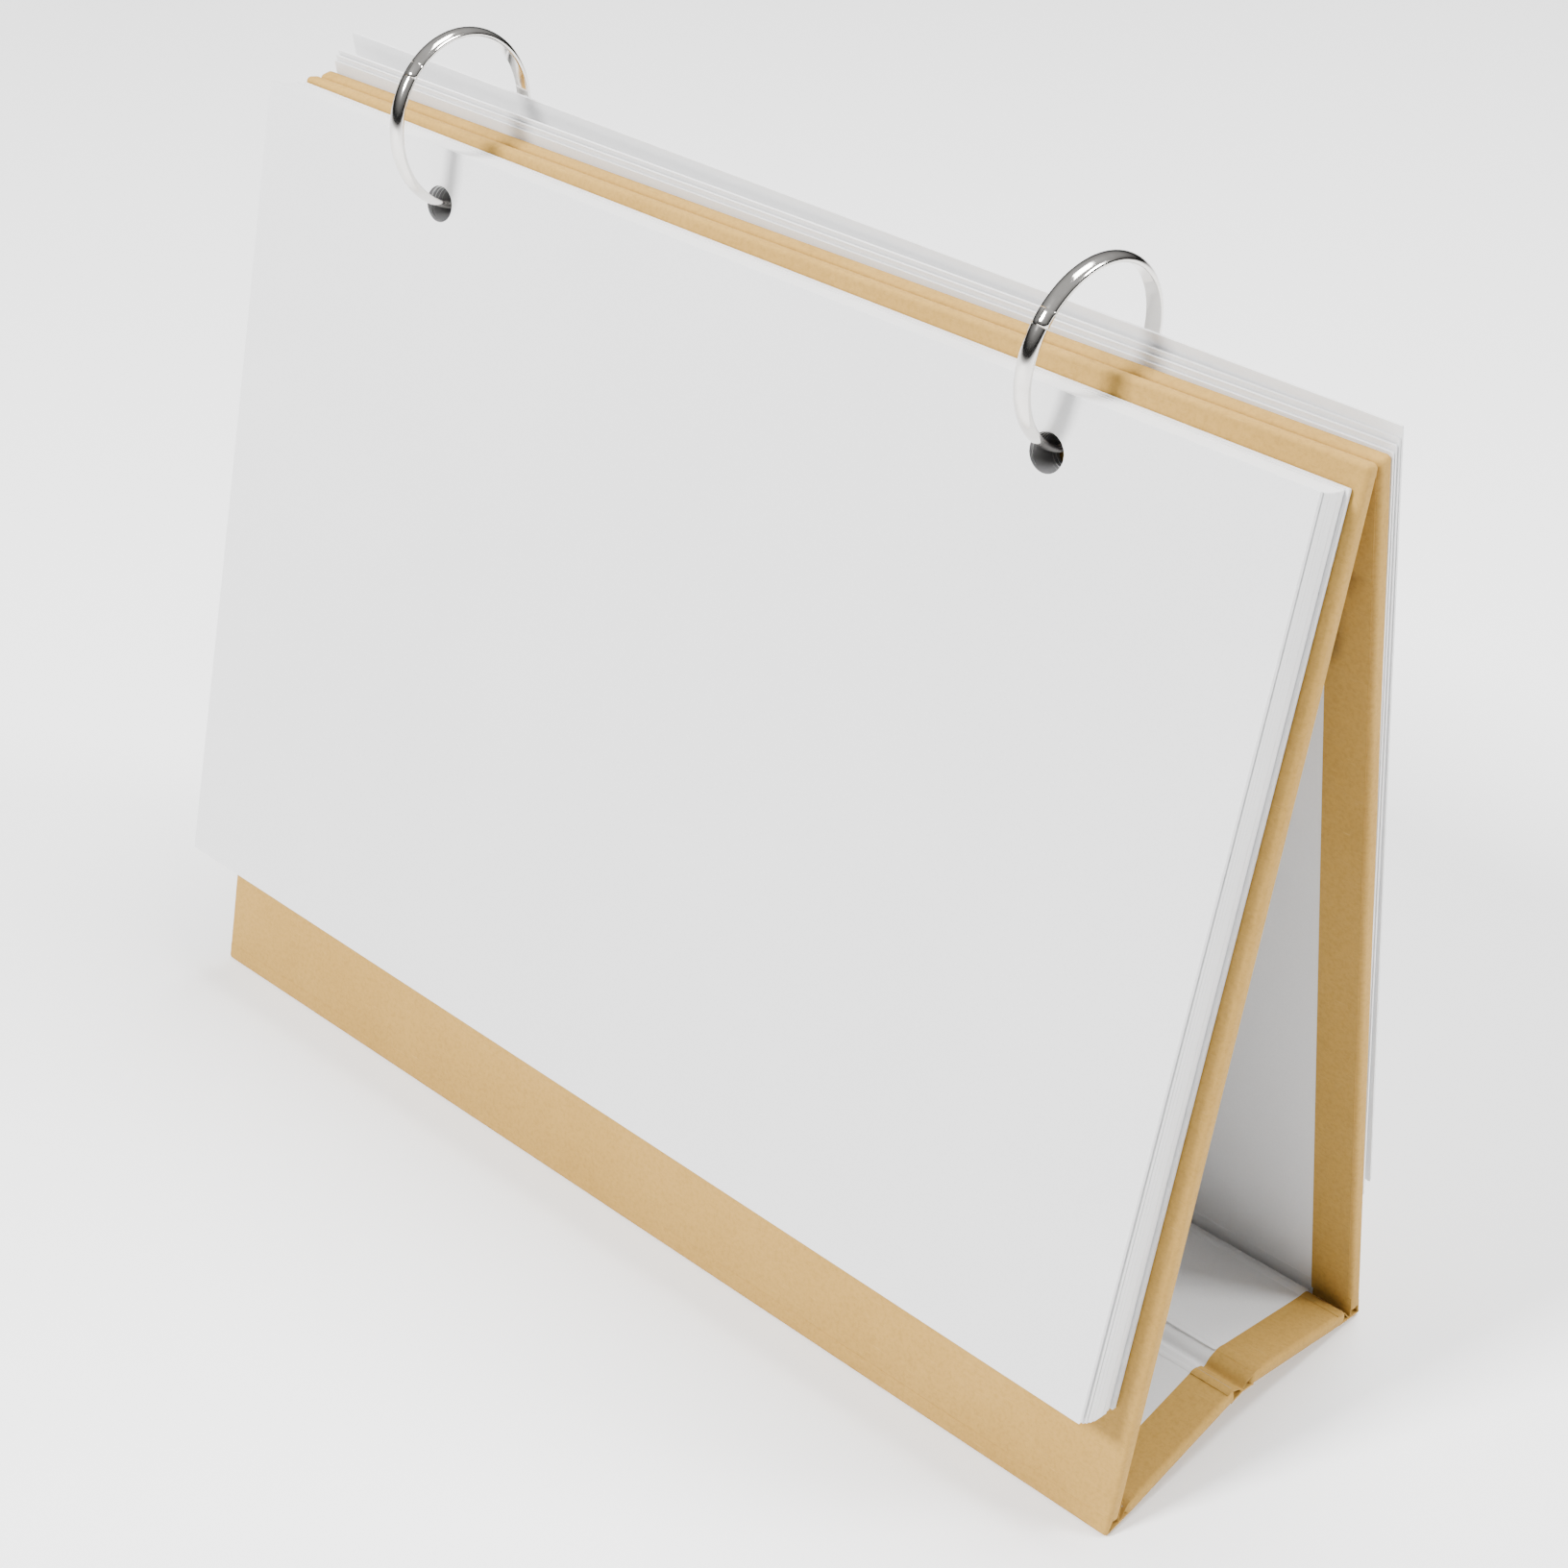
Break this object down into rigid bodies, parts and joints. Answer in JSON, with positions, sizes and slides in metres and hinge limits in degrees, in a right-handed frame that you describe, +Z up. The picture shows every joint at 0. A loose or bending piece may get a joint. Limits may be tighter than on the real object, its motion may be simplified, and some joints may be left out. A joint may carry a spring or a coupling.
{
  "type": "flip desk calendar",
  "caption": "Desk calendar on a folding kraft-wrapped tent stand, with loose blank leaves that turn on snap rings.",
  "frame": {"origin": "on the table, at the centre of the stand's footprint", "axes": "+X to the right along the width, +Y to the back, +Z up; the front panel faces -Y"},
  "size_m": [0.21, 0.071, 0.1837],
  "materials": {
    "kraft_paper": "uncoated, fine fibres",
    "grey_board": "matte",
    "liner_paper": "matte",
    "leaf_paper": "matte, heavy paper",
    "ring_metal": "polished nickel plate"
  },
  "bodies": {
    "back_panel": {"back_panel_board": "grey_board", "back_panel_kraft_wrap": "kraft_paper", "back_panel_liner": "liner_paper"},
    "base_back": {"base_back_board": "grey_board", "base_back_kraft_wrap": "kraft_paper", "base_back_liner": "liner_paper", "back_foot_crease": "kraft_paper", "middle_crease": "kraft_paper"},
    "base_front": {"base_front_board": "grey_board", "base_front_kraft_wrap": "kraft_paper", "base_front_liner": "liner_paper", "front_foot_crease": "kraft_paper"},
    "front_panel": {"front_panel_board": "grey_board", "front_panel_kraft_wrap": "kraft_paper", "front_panel_liner": "liner_paper"},
    "left_ring_lower": {"left_ring_lower": "ring_metal", "left_ring_pin": "ring_metal"},
    "left_ring_upper": {"left_ring_upper": "ring_metal"},
    "right_ring_lower": {"right_ring_lower": "ring_metal", "right_ring_pin": "ring_metal"},
    "right_ring_upper": {"right_ring_upper": "ring_metal"},
    "front_leaf_1": {"front_leaf_1": "leaf_paper"},
    "front_leaf_2": {"front_leaf_2": "leaf_paper"},
    "front_leaf_3": {"front_leaf_3": "leaf_paper"},
    "front_leaf_4": {"front_leaf_4": "leaf_paper"},
    "front_leaf_5": {"front_leaf_5": "leaf_paper"},
    "front_leaf_6": {"front_leaf_6": "leaf_paper"},
    "front_leaf_7": {"front_leaf_7": "leaf_paper"},
    "front_leaf_8": {"front_leaf_8": "leaf_paper"},
    "front_leaf_9": {"front_leaf_9": "leaf_paper"},
    "back_leaf_1": {"back_leaf_1": "leaf_paper"},
    "back_leaf_2": {"back_leaf_2": "leaf_paper"},
    "back_leaf_3": {"back_leaf_3": "leaf_paper"},
    "back_leaf_4": {"back_leaf_4": "leaf_paper"}
  },
  "joints": [
    {"name": "stand_fold", "type": "hinge", "parent": "back_panel", "child": "base_back", "pos_m": [0, 0.03079, 0.00319], "axis": [-1, 0, 0], "range_deg": [0, 27]},
    {"name": "middle_fold", "type": "hinge", "parent": "base_back", "child": "base_front", "pos_m": [0, 0, 0.0058], "axis": [1, 0, 0], "range_deg": [0, 75]},
    {"name": "front_foot_fold", "type": "hinge", "parent": "base_front", "child": "front_panel", "pos_m": [0, -0.03079, 0.00319], "axis": [-1, 0, 0], "range_deg": [0, 40]},
    {"name": "left_ring_turn", "type": "hinge", "parent": "back_panel", "child": "left_ring_lower", "pos_m": [0, -0.005, 0.16929], "axis": [1, 0, 0], "range_deg": [0, 60]},
    {"name": "left_ring_snap", "type": "hinge", "parent": "left_ring_lower", "child": "left_ring_upper", "pos_m": [0, 0.00817, 0.16551], "axis": [1, 0, 0], "range_deg": [-50, 0]},
    {"name": "right_ring_turn", "type": "hinge", "parent": "back_panel", "child": "right_ring_lower", "pos_m": [0, -0.005, 0.16929], "axis": [1, 0, 0], "range_deg": [0, 60]},
    {"name": "right_ring_snap", "type": "hinge", "parent": "right_ring_lower", "child": "right_ring_upper", "pos_m": [0, 0.00817, 0.16551], "axis": [1, 0, 0], "range_deg": [-50, 0]},
    {"name": "front_leaf_1_turn", "type": "hinge", "parent": "front_panel", "child": "front_leaf_1", "pos_m": [0, -0.005, 0.16929], "axis": [-1, 0, 0], "range_deg": [0, 184]},
    {"name": "front_leaf_2_turn", "type": "hinge", "parent": "front_leaf_1", "child": "front_leaf_2", "pos_m": [0, -0.005, 0.16929], "axis": [-1, 0, 0], "range_deg": [0, 184]},
    {"name": "front_leaf_3_turn", "type": "hinge", "parent": "front_leaf_2", "child": "front_leaf_3", "pos_m": [0, -0.005, 0.16929], "axis": [-1, 0, 0], "range_deg": [0, 184]},
    {"name": "front_leaf_4_turn", "type": "hinge", "parent": "front_leaf_3", "child": "front_leaf_4", "pos_m": [0, -0.005, 0.16929], "axis": [-1, 0, 0], "range_deg": [0, 184]},
    {"name": "front_leaf_5_turn", "type": "hinge", "parent": "front_leaf_4", "child": "front_leaf_5", "pos_m": [0, -0.005, 0.16929], "axis": [-1, 0, 0], "range_deg": [0, 184]},
    {"name": "front_leaf_6_turn", "type": "hinge", "parent": "front_leaf_5", "child": "front_leaf_6", "pos_m": [0, -0.005, 0.16929], "axis": [-1, 0, 0], "range_deg": [0, 184]},
    {"name": "front_leaf_7_turn", "type": "hinge", "parent": "front_leaf_6", "child": "front_leaf_7", "pos_m": [0, -0.005, 0.16929], "axis": [-1, 0, 0], "range_deg": [0, 184]},
    {"name": "front_leaf_8_turn", "type": "hinge", "parent": "front_leaf_7", "child": "front_leaf_8", "pos_m": [0, -0.005, 0.16929], "axis": [-1, 0, 0], "range_deg": [0, 184]},
    {"name": "front_leaf_9_turn", "type": "hinge", "parent": "front_leaf_8", "child": "front_leaf_9", "pos_m": [0, -0.005, 0.16929], "axis": [-1, 0, 0], "range_deg": [0, 184]},
    {"name": "back_leaf_1_turn", "type": "hinge", "parent": "back_panel", "child": "back_leaf_1", "pos_m": [0, -0.005, 0.16929], "axis": [-1, 0, 0], "range_deg": [-184, 0]},
    {"name": "back_leaf_2_turn", "type": "hinge", "parent": "back_leaf_1", "child": "back_leaf_2", "pos_m": [0, -0.005, 0.16929], "axis": [-1, 0, 0], "range_deg": [-184, 0]},
    {"name": "back_leaf_3_turn", "type": "hinge", "parent": "back_leaf_2", "child": "back_leaf_3", "pos_m": [0, -0.005, 0.16929], "axis": [-1, 0, 0], "range_deg": [-184, 0]},
    {"name": "back_leaf_4_turn", "type": "hinge", "parent": "back_leaf_3", "child": "back_leaf_4", "pos_m": [0, -0.005, 0.16929], "axis": [-1, 0, 0], "range_deg": [-184, 0]}
  ],
  "couplings": [
    {"joint": "middle_fold", "follows": "stand_fold", "ratio": 2.1324},
    {"joint": "front_foot_fold", "follows": "stand_fold", "ratio": 1}
  ]
}
